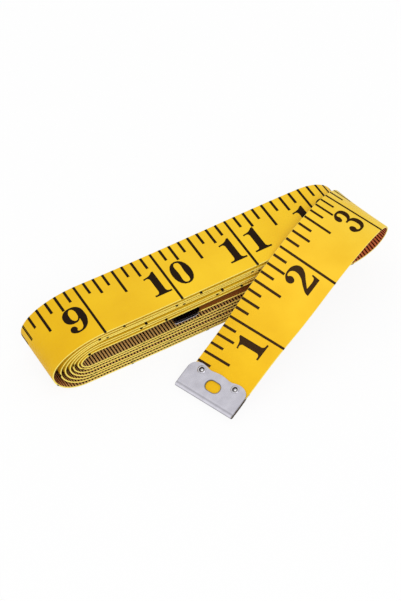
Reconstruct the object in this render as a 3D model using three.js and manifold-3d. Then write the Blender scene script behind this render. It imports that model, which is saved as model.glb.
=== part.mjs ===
// Tailor's tape measure: a printed cloth strip wound by hand into a flat coil, with its free end
// brought over the coil and down to the table, and a riveted metal tip on each end.
// Millimetres and degrees. +X runs along the coil, +Y is the scale's tick edge, +Z is up.
// The origin is the middle of the coil's lowest run, on the table.
import * as THREE from 'three';
import Module from 'manifold-3d';
import { mergeVertices } from 'three/addons/utils/BufferGeometryUtils.js';

// The strip, measured over both tips.
const TAPE_LENGTH = 1524;
const TAPE_WIDTH = 20;
const TAPE_THICKNESS = 0.45;

// The coil: full turns, the air between neighbouring layers, and how much further in each bend lies.
const TURNS = 7;
const LOWER_GAP = 0.65;
const UPPER_GAP = 0.63;
const CAVITY_HEIGHT = 1.72;
const LEFT_BEND_PITCH = 1.6;
const RIGHT_BEND_PITCH = 2.94;
const BEND_STRETCH = 1.4;
const UPPER_RISE = 1.4;
const INNER_END_X = -13.3;
const BEND_STEPS = 14;

// The free end: bends and twists spread over the strip as bell curves, placed from the outer tip.
const LOOP_BEND_DEGREES = 163.2;
const LOOP_AT = 90.9;
const LOOP_INSET = 17.56;
const LOOP_TWIST_DEGREES = 56.4;
const LOOP_TWIST_AT = 90.2;
const LOOP_TWIST_SPREAD = 11.1;
const CREST_TWIST_DEGREES = -23.2;
const CREST_TWIST_AT = 83.6;
const CREST_TWIST_SPREAD = 10.2;
const LEAST_DROOP_DEGREES = -20;
const MOST_DROOP_DEGREES = 70;
const DROOP_AT = 59.8;
const DROOP_SPREAD = 15.1;
const END_TWIST_DEGREES = 15.4;
const END_TWIST_AT = 31.3;
const END_TWIST_SPREAD = 9.1;
const OVERPASS_GAP = 0.25;
const WALK_STEP = 0.5;
const STATION_STEP = 2;

// The living hinges where the free end flexes.
const LEAD_HINGE_AT = 70;
const END_HINGE_AT = 33;
const HINGE_GAP = 0.4;

// The metal tips: folded sheet over the strip's end, with a lobed inner edge and a pierced slot. The
// outer one is set a little towards the tick edge.
const TIP_LENGTH = 10;
const TIP_OVERHANG = 0.5;
const OUTER_TIP_SHIFT = 0.6;
const TIP_SHEET = 0.3;
const TIP_CLEARANCE = 0.1;
const TIP_SEAT_GAP = 1.15;
const TIP_CORNER = 0.8;
const LOBES = 3;
const LOBE_DEPTH = 0.75;
const SLOT_LENGTH = 5.2;
const SLOT_WIDTH = 3.6;
const SLOT_AT = 5.2;

// The hollow rivets that hold each tip.
const RIVET_SETBACK = 2.1;
const RIVET_INSET = 3.8;
const RIVET_BORE = 1.3;
const RIVET_SHANK = 1.9;
const RIVET_FLANGE = 2.6;
const RIVET_FLANGE_THICKNESS = 0.15;
const RIVET_SEAT = 0.05;
const RIVET_CLEARANCE = 0.1;
const ROUND_SEGMENTS = 20;

const TIP_WIDTH = TAPE_WIDTH + 2 * TIP_OVERHANG;
const TIP_THICKNESS = TAPE_THICKNESS + 2 * (TIP_CLEARANCE + TIP_SHEET);
const TIP_INSET = TIP_SHEET + TIP_CLEARANCE;
const RIVET_AT = TIP_LENGTH - RIVET_SETBACK;
const RIVET_HALF = TIP_THICKNESS / 2 + RIVET_SEAT + RIVET_FLANGE_THICKNESS;
const RIVET_SIDE = TAPE_WIDTH / 2 - RIVET_INSET;
const RIVET_HOLE = RIVET_SHANK / 2 + RIVET_CLEARANCE;

const tapeFinish = new THREE.MeshStandardMaterial({ color: 0xf2b01e, roughness: 0.5, metalness: 0 });
const tipFinish = new THREE.MeshStandardMaterial({ color: 0xb4b4b0, roughness: 0.38, metalness: 1 });
const rivetFinish = new THREE.MeshStandardMaterial({ color: 0xc6c6c2, roughness: 0.3, metalness: 1 });

const wasm = await Module();
wasm.setup();

function toSolid(geometry) {
  geometry.deleteAttribute('normal');
  geometry.deleteAttribute('uv');
  const merged = mergeVertices(geometry, 1e-5);
  const vertProperties = new Float32Array(merged.attributes.position.array);
  const triVerts = new Uint32Array(merged.index.array);
  return new wasm.Manifold(new wasm.Mesh({ numProp: 3, vertProperties, triVerts }));
}

function toGeometry(solid) {
  const mesh = solid.getMesh();
  const geometry = new THREE.BufferGeometry();
  geometry.setAttribute('position', new THREE.BufferAttribute(mesh.vertProperties, 3));
  geometry.setIndex(new THREE.BufferAttribute(mesh.triVerts, 1));
  geometry.computeVertexNormals();
  return geometry;
}

// Heights of the strip's middle in each layer, from the table up. The inner end springs up a little from
// the lower stack, and the upper stack hangs the cavity's height above that last run.
const lowerPitch = TAPE_THICKNESS + LOWER_GAP;
const upperPitch = TAPE_THICKNESS + UPPER_GAP;
const lowestRunZ = TAPE_THICKNESS / 2;
const innerRunZ = lowestRunZ + (TURNS - 1) * lowerPitch + TAPE_THICKNESS / 2 + TIP_SEAT_GAP + RIVET_HALF;
const innermostUpperZ = innerRunZ + TAPE_THICKNESS + CAVITY_HEIGHT;
const lowerRunZ = (turn) => (turn < TURNS ? lowestRunZ + turn * lowerPitch : innerRunZ);
const upperRunZ = (turn) => innermostUpperZ + (TURNS - 1 - turn) * upperPitch;

// A place on the strip: its distance from the outer tip, its middle, the direction across to the
// tick edge, and the direction out of the printed face.
const makeStation = (s, point, across, out) => ({ s, point, across, out });

// Half an ellipse between a lower and an upper run, as places on the coil's middle line.
function bend(tipX, lowZ, highZ, side) {
  const rise = (highZ - lowZ) / 2;
  const reach = BEND_STRETCH * rise;
  const centre = tipX - side * reach;
  const places = [];
  for (let step = 0; step <= BEND_STEPS; step += 1) {
    const angle = (Math.PI * step) / BEND_STEPS;
    const lift = side < 0 ? -Math.cos(angle) : Math.cos(angle);
    const x = centre + side * reach * Math.sin(angle);
    const z = (lowZ + highZ) / 2 + rise * lift;
    const out = new THREE.Vector3(side * rise * Math.sin(angle), 0, reach * lift).normalize();
    places.push({ x, z, out });
  }
  return places;
}

// The coil's middle line for a given overall length, from the end of the lowest run inwards.
function coilPlaces(coilLength) {
  const places = [];
  for (let turn = 0; turn < TURNS; turn += 1) {
    const leftTip = -coilLength / 2 + TAPE_THICKNESS / 2 + turn * LEFT_BEND_PITCH;
    const rightTip = coilLength / 2 - TAPE_THICKNESS / 2 - turn * RIGHT_BEND_PITCH;
    places.push(...bend(leftTip, lowerRunZ(turn), upperRunZ(turn), -1));
    places.push(...bend(rightTip, lowerRunZ(turn + 1), upperRunZ(turn) + UPPER_RISE, 1));
  }
  places.push({ x: INNER_END_X, z: innerRunZ, out: new THREE.Vector3(0, 0, -1) });
  return places;
}

function pathLength(places, startX) {
  let length = 0;
  let last = { x: startX, z: lowestRunZ };
  for (const place of places) {
    length += Math.hypot(place.x - last.x, place.z - last.z);
    last = place;
  }
  return length;
}

// The wound length grows in step with the coil's length, so two trials give the coil whose inner
// end lies at its place once the whole strip is wound.
function fitCoil(joinAt) {
  const wound = (coilLength) => pathLength(coilPlaces(coilLength), coilLength / 2 - LOOP_INSET);
  const trial = 100;
  const perMillimetre = wound(trial + 1) - wound(trial);
  return trial + (TAPE_LENGTH - joinAt - wound(trial)) / perMillimetre;
}

const radians = THREE.MathUtils.degToRad;

function bell(s, turn, centre, spread) {
  const offset = (s - centre) / spread;
  return (radians(turn) / (spread * Math.sqrt(Math.PI))) * Math.exp(-offset * offset);
}

// Walks the free end from the end of the lowest run, round the loop and over the coil to the tip.
function walkFreeEnd(loopSpread, droop) {
  const joinAt = LOOP_AT + 2 * loopSpread;
  const steps = Math.round(joinAt / WALK_STEP);
  const ds = joinAt / steps;
  const coilLength = fitCoil(joinAt);
  const point = new THREE.Vector3(coilLength / 2 - LOOP_INSET, 0, lowestRunZ);
  const along = new THREE.Vector3(1, 0, 0);
  const across = new THREE.Vector3(0, 1, 0);
  const stations = [];
  for (let step = 0; step <= steps; step += 1) {
    const s = joinAt - step * ds;
    const out = new THREE.Vector3().crossVectors(across, along);
    stations.push(makeStation(s, point.clone(), across.clone(), out));
    const bending = bell(s, LOOP_BEND_DEGREES, LOOP_AT, loopSpread) + bell(s, droop, DROOP_AT, DROOP_SPREAD);
    const twisting = bell(s, LOOP_TWIST_DEGREES, LOOP_TWIST_AT, LOOP_TWIST_SPREAD)
      + bell(s, CREST_TWIST_DEGREES, CREST_TWIST_AT, CREST_TWIST_SPREAD)
      + bell(s, END_TWIST_DEGREES, END_TWIST_AT, END_TWIST_SPREAD);
    const turn = across.clone().multiplyScalar(-bending).addScaledVector(along, twisting);
    const angle = turn.length() * ds;
    const axis = turn.normalize();
    point.addScaledVector(along, ds / 2);
    along.applyAxisAngle(axis, angle);
    across.applyAxisAngle(axis, angle);
    point.addScaledVector(along, ds / 2);
  }
  return { stations: stations.reverse(), coilLength, joinAt };
}

// Halves an interval until a rising measure crosses nought.
function findZero(measure, low, high) {
  let from = low;
  let to = high;
  while (to - from > 1e-6) {
    const middle = (from + to) / 2;
    if (measure(middle) > 0) to = middle;
    else from = middle;
  }
  return (from + to) / 2;
}

// Height of the outer tip's lowest corner above the table.
function tipClearance(stations) {
  const tip = stations[0];
  const reach = TIP_WIDTH / 2 + OUTER_TIP_SHIFT;
  const lean = Math.abs(tip.across.z) * reach + Math.abs(tip.out.z) * (TIP_THICKNESS / 2);
  return tip.point.z - lean;
}

// The droop that lays the tip's corner on the table.
function settle(loopSpread) {
  const sink = (droop) => -tipClearance(walkFreeEnd(loopSpread, droop).stations);
  return walkFreeEnd(loopSpread, findZero(sink, LEAST_DROOP_DEGREES, MOST_DROOP_DEGREES));
}

// Least air between the free end's underside and the coil's top run, where the one lies over the other.
function overpass({ stations, coilLength }) {
  const places = coilPlaces(coilLength);
  const runStart = places[BEND_STEPS];
  const runEnd = places[BEND_STEPS + 1];
  let least = Infinity;
  for (const { s, point, across, out } of stations) {
    if (s > LEAD_HINGE_AT) break;
    for (let share = -1; share <= 1; share += 0.1) {
      const under = point.clone().addScaledVector(across, share * (TAPE_WIDTH / 2));
      under.addScaledVector(out, -TAPE_THICKNESS / 2);
      if (Math.abs(under.y) > TAPE_WIDTH / 2) continue;
      const runZ = THREE.MathUtils.mapLinear(under.x, runStart.x, runEnd.x, runStart.z, runEnd.z);
      least = Math.min(least, under.z - runZ - TAPE_THICKNESS / 2);
    }
  }
  return least;
}

// The loop's spread that carries the free end over the coil with that much air.
const spare = (spread) => overpass(settle(spread)) - OVERPASS_GAP;
const loopSpread = findZero(spare, LOOP_AT / 10, LOOP_AT / 3);
const lead = settle(loopSpread);

// One list of places for the whole strip: the free end thinned to its station step, then the coil.
const stations = [];
for (const station of lead.stations) {
  const last = stations.at(-1);
  if (!last || station.s - last.s >= STATION_STEP || station.s === lead.joinAt) stations.push(station);
}
for (const { x, z, out } of coilPlaces(lead.coilLength)) {
  const last = stations.at(-1);
  const point = new THREE.Vector3(x, 0, z);
  stations.push(makeStation(last.s + point.distanceTo(last.point), point, new THREE.Vector3(0, 1, 0), out));
}

function stationAt(s) {
  const reached = stations.findIndex((station, place) => place > 0 && station.s >= s);
  const after = reached < 0 ? stations.length - 1 : reached;
  const from = stations[after - 1];
  const to = stations[after];
  const share = (s - from.s) / (to.s - from.s);
  const blend = (name) => from[name].clone().lerp(to[name], share);
  return makeStation(s, blend('point'), blend('across').normalize(), blend('out').normalize());
}

function stretch(start, end) {
  const within = stations.filter((station) => station.s > start && station.s < end);
  return [stationAt(start), ...within, stationAt(end)];
}

// The strip between two distances, as one closed band with a rectangular section.
function stripGeometry(start, end) {
  const places = stretch(start, end);
  const corners = [[1, 1], [-1, 1], [-1, -1], [1, -1]];
  const positions = [];
  const index = [];
  for (const { point, across, out } of places) {
    for (const [side, face] of corners) {
      const corner = point.clone().addScaledVector(across, side * (TAPE_WIDTH / 2));
      corner.addScaledVector(out, face * (TAPE_THICKNESS / 2));
      positions.push(corner.x, corner.y, corner.z);
    }
  }
  for (let ring = 0; ring < places.length - 1; ring += 1) {
    for (let corner = 0; corner < 4; corner += 1) {
      const a = 4 * ring + corner;
      const b = 4 * ring + ((corner + 1) % 4);
      index.push(a, b, b + 4, a, b + 4, a + 4);
    }
  }
  const last = 4 * (places.length - 1);
  index.push(0, 2, 1, 0, 3, 2, last, last + 1, last + 2, last, last + 2, last + 3);
  const geometry = new THREE.BufferGeometry();
  geometry.setAttribute('position', new THREE.Float32BufferAttribute(positions, 3));
  geometry.setIndex(index);
  return geometry;
}

// The frame of a tip: its own x runs from the strip's end inwards, and y across to the tick edge.
function tipFrame(end, inwards, shift) {
  const station = stationAt(end);
  const neighbour = stationAt(end + inwards * TIP_LENGTH);
  const x = neighbour.point.clone().sub(station.point).normalize();
  const z = new THREE.Vector3().crossVectors(x, station.across).normalize();
  const y = new THREE.Vector3().crossVectors(z, x);
  const origin = station.point.clone().addScaledVector(y, shift);
  return new THREE.Matrix4().makeBasis(x, y, z).setPosition(origin);
}

function rivetHole(frame, side) {
  const hole = new THREE.CylinderGeometry(RIVET_HOLE, RIVET_HOLE, 2 * RIVET_HALF, ROUND_SEGMENTS);
  hole.rotateX(Math.PI / 2);
  hole.translate(RIVET_AT, side * RIVET_SIDE, 0);
  hole.applyMatrix4(frame);
  return toSolid(hole);
}

function piercedStrip(start, end, frame) {
  const plain = toSolid(stripGeometry(start, end));
  const pierced = plain.subtract(rivetHole(frame, 1)).subtract(rivetHole(frame, -1));
  return toGeometry(pierced);
}

// A tip seen flat: square outer corners eased a little, straight sides, and the lobed inner edge.
function tipOutline() {
  const half = TIP_WIDTH / 2;
  const valley = TIP_LENGTH - LOBE_DEPTH;
  const outline = new THREE.Shape();
  outline.moveTo(0, half - TIP_CORNER);
  outline.lineTo(0, -half + TIP_CORNER);
  outline.absarc(TIP_CORNER, -half + TIP_CORNER, TIP_CORNER, Math.PI, 1.5 * Math.PI, false);
  outline.lineTo(valley, -half);
  for (let lobe = 0; lobe < LOBES; lobe += 1) {
    const from = -half + (lobe * TIP_WIDTH) / LOBES;
    const to = from + TIP_WIDTH / LOBES;
    outline.quadraticCurveTo(TIP_LENGTH + LOBE_DEPTH, (from + to) / 2, valley, to);
  }
  outline.lineTo(TIP_CORNER, half);
  outline.absarc(TIP_CORNER, half - TIP_CORNER, TIP_CORNER, 0.5 * Math.PI, Math.PI, false);
  const slot = new THREE.Path();
  const slotEnd = (SLOT_LENGTH - SLOT_WIDTH) / 2;
  slot.absarc(SLOT_AT, slotEnd, SLOT_WIDTH / 2, 0, Math.PI, false);
  slot.absarc(SLOT_AT, -slotEnd, SLOT_WIDTH / 2, Math.PI, 2 * Math.PI, false);
  outline.holes.push(slot);
  for (const side of [1, -1]) {
    const hole = new THREE.Path();
    hole.absarc(RIVET_AT, side * RIVET_SIDE, RIVET_HOLE, 0, 2 * Math.PI, false);
    outline.holes.push(hole);
  }
  return outline;
}

// The outline at the tip's full thickness, with the slit that takes the strip cut out of it.
function tipGeometry() {
  const options = { depth: TIP_THICKNESS, bevelEnabled: false, curveSegments: 8 };
  const blank = new THREE.ExtrudeGeometry(tipOutline(), options);
  blank.translate(0, 0, -TIP_THICKNESS / 2);
  const slitHeight = TAPE_THICKNESS + 2 * TIP_CLEARANCE;
  const slit = new THREE.BoxGeometry(2 * TIP_LENGTH, 2 * TIP_WIDTH, slitHeight);
  slit.translate(TIP_SHEET + TIP_LENGTH, 0, 0);
  return toGeometry(toSolid(blank).subtract(toSolid(slit)));
}

// A hollow rivet: a thin tube with a flange turned over at both ends.
function rivetGeometry() {
  const bore = RIVET_BORE / 2;
  const shank = RIVET_SHANK / 2;
  const flange = RIVET_FLANGE / 2;
  const inner = RIVET_HALF - RIVET_FLANGE_THICKNESS;
  const profile = [
    [bore, -RIVET_HALF], [flange, -RIVET_HALF], [flange, -inner], [shank, -inner],
    [shank, inner], [flange, inner], [flange, RIVET_HALF], [bore, RIVET_HALF], [bore, -RIVET_HALF],
  ];
  const points = profile.map(([radius, height]) => new THREE.Vector2(radius, height));
  const geometry = new THREE.LatheGeometry(points, ROUND_SEGMENTS);
  geometry.rotateX(Math.PI / 2);
  return geometry;
}

function addMesh(group, name, geometry, material) {
  const mesh = new THREE.Mesh(geometry, material);
  mesh.name = name;
  group.add(mesh);
  return mesh;
}

function makeTip(name, frame) {
  const group = new THREE.Group();
  group.applyMatrix4(frame);
  addMesh(group, `${name}_tip`, tipGeometry(), tipFinish);
  for (const [place, side] of [['back', 1], ['front', -1]]) {
    const rivet = addMesh(group, `${name}_rivet_${place}`, rivetGeometry(), rivetFinish);
    rivet.position.set(RIVET_AT, side * RIVET_SIDE, 0);
  }
  return group;
}

// Least air between the strip and itself, from every place to every stretch of the other turns.
function leastSelfGap() {
  const nearest = new THREE.Vector3();
  const section = new THREE.Line3();
  let least = Infinity;
  for (const place of stations) {
    for (let next = 1; next < stations.length; next += 1) {
      const from = stations[next - 1];
      const to = stations[next];
      if (Math.abs(from.s - place.s) < LOOP_AT || Math.abs(to.s - place.s) < LOOP_AT) continue;
      section.set(from.point, to.point).closestPointToPoint(place.point, true, nearest);
      least = Math.min(least, nearest.distanceTo(place.point) - TAPE_THICKNESS);
    }
  }
  return least;
}

const outerFrame = tipFrame(0, 1, OUTER_TIP_SHIFT);
const innerFrame = tipFrame(TAPE_LENGTH, -1, 0);
const tapeMeasure = new THREE.Group();
const coilStart = LEAD_HINGE_AT + HINGE_GAP / 2;
const leadEnd = LEAD_HINGE_AT - HINGE_GAP / 2;
const leadStart = END_HINGE_AT + HINGE_GAP / 2;
const freeEnd = END_HINGE_AT - HINGE_GAP / 2;
addMesh(tapeMeasure, 'tape_coil', piercedStrip(coilStart, TAPE_LENGTH - TIP_INSET, innerFrame), tapeFinish);
addMesh(tapeMeasure, 'tape_lead', stripGeometry(leadStart, leadEnd), tapeFinish);
addMesh(tapeMeasure, 'tape_end', piercedStrip(TIP_INSET, freeEnd, outerFrame), tapeFinish);
tapeMeasure.add(makeTip('outer', outerFrame));
tapeMeasure.add(makeTip('inner', innerFrame));
tapeMeasure.userData.hinges = {
  lead_hinge: stationAt(LEAD_HINGE_AT),
  end_hinge: stationAt(END_HINGE_AT),
};

console.log(`least gap of the strip to itself: ${leastSelfGap().toFixed(3)} mm`);
console.log(`coil length: ${lead.coilLength.toFixed(2)} mm`);

export default tapeMeasure;
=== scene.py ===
import math

import bmesh
import bpy
import numpy as np
from mathutils import Matrix, Vector


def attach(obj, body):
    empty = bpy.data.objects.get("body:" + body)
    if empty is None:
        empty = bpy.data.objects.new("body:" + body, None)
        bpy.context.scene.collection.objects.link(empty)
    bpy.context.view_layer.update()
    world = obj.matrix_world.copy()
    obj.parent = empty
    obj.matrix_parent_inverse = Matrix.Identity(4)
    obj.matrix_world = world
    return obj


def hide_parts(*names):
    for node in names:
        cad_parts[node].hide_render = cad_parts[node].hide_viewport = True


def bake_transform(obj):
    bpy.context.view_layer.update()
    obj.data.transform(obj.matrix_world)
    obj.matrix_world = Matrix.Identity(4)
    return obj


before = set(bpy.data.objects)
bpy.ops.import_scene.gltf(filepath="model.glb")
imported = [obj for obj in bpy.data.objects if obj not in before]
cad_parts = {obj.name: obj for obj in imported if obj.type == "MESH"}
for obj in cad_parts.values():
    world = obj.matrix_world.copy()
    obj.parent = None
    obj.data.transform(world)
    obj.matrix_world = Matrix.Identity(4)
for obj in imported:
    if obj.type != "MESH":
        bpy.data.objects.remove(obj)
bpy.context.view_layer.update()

# Camera.
# The tape is seen from the front left and well above, through a long lens. The camera's place comes
# from the printed inch marks, which are 25.4 mm apart along the strip.
CAMERA_AIM = Vector((0.001603, 0.00057, 0.0))
CAMERA_AZIMUTH = math.radians(-29.75)
CAMERA_ELEVATION = math.radians(48.57)
CAMERA_DISTANCE = 0.8
FOCAL_LENGTH_PIXELS = 2681.8
PICTURE_HEIGHT_PIXELS = 601
SENSOR_SIZE = 36.0
NEAREST_SEEN = 0.01
FARTHEST_SEEN = 20.0

towards_camera = Vector((
    math.sin(CAMERA_AZIMUTH) * math.cos(CAMERA_ELEVATION),
    -math.cos(CAMERA_AZIMUTH) * math.cos(CAMERA_ELEVATION),
    math.sin(CAMERA_ELEVATION),
))
camera_data = bpy.data.cameras.new("camera")
camera_data.sensor_width = SENSOR_SIZE
camera_data.lens = SENSOR_SIZE * FOCAL_LENGTH_PIXELS / PICTURE_HEIGHT_PIXELS
camera_data.clip_start = NEAREST_SEEN
camera_data.clip_end = FARTHEST_SEEN
camera = bpy.data.objects.new("camera", camera_data)
camera.location = CAMERA_AIM + CAMERA_DISTANCE * towards_camera
camera.rotation_euler = (-towards_camera).to_track_quat("-Z", "Y").to_euler()
bpy.context.scene.collection.objects.link(camera)
bpy.context.scene.camera = camera

# The strip.
# One ribbon of woven cloth, 60 inches long, in a thin vinyl skin that is yellow on its face and salmon on
# its back. It is wound by hand into a flat coil, and its outer end is brought round a loop, over the coil
# and down to the table.
MM = 0.001
INCH = 25.4
TAPE_LENGTH = 1524.0
TAPE_WIDTH = 20.0
TAPE_THICKNESS = 0.45
TURNS = 7
COIL_LENGTH = 105.738
LEFT_BEND_TIPS = (-53.2, -50.6, -49.1, -47.6, -46.4, -44.9, -43.9)
RIGHT_BEND_PITCH_TRIALS = (2.6, 3.4)
LOWER_AIR_LEFT = 0.52
LOWER_AIR_RIGHT = 0.7
UPPER_HEIGHTS = (17.655, 16.33, 15.3, 14.72, 13.34, 12.26, 11.2)
UPPER_RISES = (1.4, 1.45, 1.5, 1.25, 1.4, 1.3, 1.25)
UPPER_SAG = 0.12
INNER_RUN_HEIGHT = 9.025
INNER_END_X = -13.3
# Bends at the coil's ends: (share of the height where fullest, stretch above it, stretch below it).
LEFT_BEND = (0.435, 1.9, 1.4)
RIGHT_BEND = (0.5, 1.4, 1.4)
BEND_STEPS = 48
RUN_STEPS = 40
EDGE_WANDER = 0.12
EDGE_WAVES = ((1.0, 47.0, 0.0), (0.6, 23.0, 1.0))
EDGE_SETTLES = 60.0
LOWER_SLIDE = 1.0
SLIDE_HEIGHT = 8.0

JOIN_AT = 115.6
LOOP_INSET = 17.95
# Bends and twists of the free end: (degrees, distance from the outer tip, spread).
LOOP_BEND = (161.812, 90.744, 13.31)
DROOP_BEND = (34.349, 62.809, 14.545)
LOOP_TWIST = (56.711, 89.662, 12.725)
CREST_TWIST = (-23.509, 81.142, 12.874)
END_TWIST = (15.753, 31.321, 9.021)
WALK_STEPS = 464


def smooth_step(share):
    share = np.clip(share, 0.0, 1.0)
    return share * share * (3.0 - 2.0 * share)


def bend_line(tip_x, low_z, high_z, side):
    """A bend from one run of the coil to the next, up on the left and down on the right.

    It reaches furthest at or below its middle height.
    """
    fullest, upper_stretch, lower_stretch = LEFT_BEND if side < 0 else RIGHT_BEND
    middle = low_z + fullest * (high_z - low_z)
    angle = np.linspace(0.0, math.pi, BEND_STEPS + 1)
    lift = side * np.cos(angle)
    rise = np.where(lift > 0, high_z - middle, middle - low_z)
    reach = rise * np.where(lift > 0, upper_stretch, lower_stretch)
    return np.stack([tip_x - side * reach * (1.0 - np.sin(angle)), middle + rise * lift], 1)


def run_line(start, end, sag):
    """The stretch between two bends, level at both ends, without its end points."""
    share = np.linspace(0.0, 1.0, RUN_STEPS + 1)[1:-1]
    x = start[0] + (end[0] - start[0]) * share
    z = start[1] + (end[1] - start[1]) * smooth_step(share) - sag * np.sin(math.pi * share) ** 2
    return np.stack([x, z], 1)


def lower_height(turn, air):
    return TAPE_THICKNESS / 2 + turn * (TAPE_THICKNESS + air) if turn < TURNS else INNER_RUN_HEIGHT


def coil_line(right_pitch):
    """The coil's middle line in x and z, from the end of the lowest run inwards to the strip's inner end."""
    half = COIL_LENGTH / 2 - TAPE_THICKNESS / 2
    line = [np.array([[COIL_LENGTH / 2 - LOOP_INSET, TAPE_THICKNESS / 2]])]
    for turn in range(TURNS):
        left = bend_line(LEFT_BEND_TIPS[turn], lower_height(turn, LOWER_AIR_LEFT), UPPER_HEIGHTS[turn], -1)
        right_top = UPPER_HEIGHTS[turn] + UPPER_RISES[turn]
        right = bend_line(half - turn * right_pitch, lower_height(turn + 1, LOWER_AIR_RIGHT), right_top, 1)
        line += [run_line(line[-1][-1], left[0], 0.0), left, run_line(left[-1], right[0], UPPER_SAG), right]
    inner_end = np.array([[INNER_END_X, INNER_RUN_HEIGHT]])
    return np.concatenate(line + [run_line(line[-1][-1], inner_end[0], 0.0), inner_end])


def line_distances(line):
    return np.concatenate([[0.0], np.cumsum(np.linalg.norm(np.diff(line, axis=0), axis=1))])


def bell(s, turn, centre, spread):
    return math.radians(turn) / (spread * math.sqrt(math.pi)) * np.exp(-(((s - centre) / spread) ** 2))


def unit(vectors):
    return vectors / np.linalg.norm(vectors, axis=-1, keepdims=True)


def free_end_walk():
    """Distances, middles, across and outward directions of the free end, walked from the coil to the tip."""
    s = np.linspace(JOIN_AT, 0.0, WALK_STEPS + 1)
    step = JOIN_AT / WALK_STEPS
    bending = bell(s, *LOOP_BEND) + bell(s, *DROOP_BEND)
    twisting = bell(s, *LOOP_TWIST) + bell(s, *CREST_TWIST) + bell(s, *END_TWIST)
    place = Vector((COIL_LENGTH / 2 - LOOP_INSET, 0.0, TAPE_THICKNESS / 2))
    along, across = Vector((1.0, 0.0, 0.0)), Vector((0.0, 1.0, 0.0))
    middles, acrosses, outs = [], [], []
    for bend, twist in zip(bending.tolist(), twisting.tolist()):
        middles.append(place[:])
        acrosses.append(across[:])
        outs.append(across.cross(along)[:])
        turn = twist * along - bend * across
        turned = Matrix.Rotation(turn.length * step, 3, turn)
        place = place + along * (step / 2)
        along, across = turned @ along, turned @ across
        place = place + along * (step / 2)
    return s[::-1], np.array(middles)[::-1], np.array(acrosses)[::-1], np.array(outs)[::-1]


wound = TAPE_LENGTH - JOIN_AT
tight_pitch, loose_pitch = RIGHT_BEND_PITCH_TRIALS
tight, loose = (line_distances(coil_line(pitch))[-1] for pitch in RIGHT_BEND_PITCH_TRIALS)
right_share = (wound - tight) / (loose - tight)
right_bend_pitch = tight_pitch + right_share * (loose_pitch - tight_pitch)
coil = coil_line(right_bend_pitch)
coil_s = JOIN_AT + line_distances(coil) * wound / line_distances(coil)[-1]
held_at_start = smooth_step((coil_s - JOIN_AT) / EDGE_SETTLES)
edge_held = held_at_start * smooth_step((TAPE_LENGTH - coil_s) / EDGE_SETTLES)
edge_wander = EDGE_WANDER * sum(share * np.sin(coil_s / length + start) for share, length, start in EDGE_WAVES)
lower_slide = LOWER_SLIDE * smooth_step(1.0 - coil[:, 1] / SLIDE_HEIGHT)
edge_shift = edge_held * (edge_wander - lower_slide)
coil_along = unit(np.gradient(coil, coil_s, axis=0))
coil_out = np.stack([-coil_along[:, 1], np.zeros(len(coil)), coil_along[:, 0]], 1)
coil_middle = np.stack([coil[:, 0], edge_shift, coil[:, 1]], 1)
end_s, end_middle, end_across, end_out = free_end_walk()
route_s = np.concatenate([end_s[:-1], coil_s])
route_middle = np.concatenate([end_middle[:-1], coil_middle])
route_across = np.concatenate([end_across[:-1], np.tile([0.0, 1.0, 0.0], (len(coil), 1))])
route_out = np.concatenate([end_out[:-1], coil_out])


def along_route(values, s):
    return np.stack([np.interp(s, route_s, values[:, axis]) for axis in range(3)], -1)


def strip_points(s, v, h):
    """Points in metres at distances s from the outer tip, v across and h out.

    v is 0 in the middle of the strip's width, and h in the middle of its thickness, rising to the inch face.
    """
    s, v, h = (np.asarray(a, float)[..., None] for a in (s, v, h))
    across = unit(along_route(route_across, s[..., 0]))
    out = unit(along_route(route_out, s[..., 0]))
    return MM * (along_route(route_middle, s[..., 0]) + v * across + h * out)


def add_piece(name, finishes, points, faces, kinds=None, normals=None, uvs=None):
    """A smooth mesh piece in the row frame.

    kinds picks each face's finish, and uvs are places on the flat piece, in millimetres.
    """
    mesh = bpy.data.meshes.new(name)
    mesh.from_pydata(np.asarray(points).tolist(), [], faces)
    for finish in finishes:
        mesh.materials.append(finish)
    mesh.polygons.foreach_set("use_smooth", np.ones(len(faces), bool))
    if kinds is not None:
        mesh.polygons.foreach_set("material_index", np.asarray(kinds, np.int32))
    if uvs is not None:
        corner_vertices = np.zeros(len(mesh.loops), np.int32)
        mesh.loops.foreach_get("vertex_index", corner_vertices)
        layer = mesh.uv_layers.new(name="flat")
        layer.data.foreach_set("uv", np.asarray(uvs, np.float32)[corner_vertices].ravel())
    mesh.update()
    if normals is not None:
        mesh.normals_split_custom_set_from_vertices(np.asarray(normals).tolist())
    piece = bpy.data.objects.new(name, mesh)
    bpy.context.scene.collection.objects.link(piece)
    return piece


def node_group(name, inputs, outputs):
    group = bpy.data.node_groups.new(name, "ShaderNodeTree")
    for socket, default in inputs.items():
        kind = "NodeSocketVector" if default is None else "NodeSocketFloat"
        made = group.interface.new_socket(socket, in_out="INPUT", socket_type=kind)
        if default is not None:
            made.default_value = default
    for socket in outputs:
        group.interface.new_socket(socket, in_out="OUTPUT", socket_type="NodeSocketFloat")
    return group, group.nodes.new("NodeGroupInput"), group.nodes.new("NodeGroupOutput")


def math_node(tree, operation, first, second=None):
    node = tree.nodes.new("ShaderNodeMath")
    node.operation = operation
    for socket, value in zip(node.inputs, (first, second)):
        if isinstance(value, bpy.types.NodeSocket):
            tree.links.new(value, socket)
        elif value is not None:
            socket.default_value = value
    return node.outputs[0]


def make_handling_marks():
    """Uneven handling: a soft broad mottle and a fine grain, both about 0 to 1."""
    scales = {"Place": None, "Broad": 0.1, "Fine": 2.0}
    group, inside, outside = node_group("handling_marks", scales, ("Mottle", "Grain"))
    for output, scale, detail in (("Mottle", "Broad", 3.0), ("Grain", "Fine", 2.0)):
        noise = group.nodes.new("ShaderNodeTexNoise")
        noise.inputs["Detail"].default_value = detail
        group.links.new(inside.outputs["Place"], noise.inputs["Vector"])
        group.links.new(inside.outputs[scale], noise.inputs["Scale"])
        group.links.new(noise.outputs["Fac"], outside.inputs[output])
    return group


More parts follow.
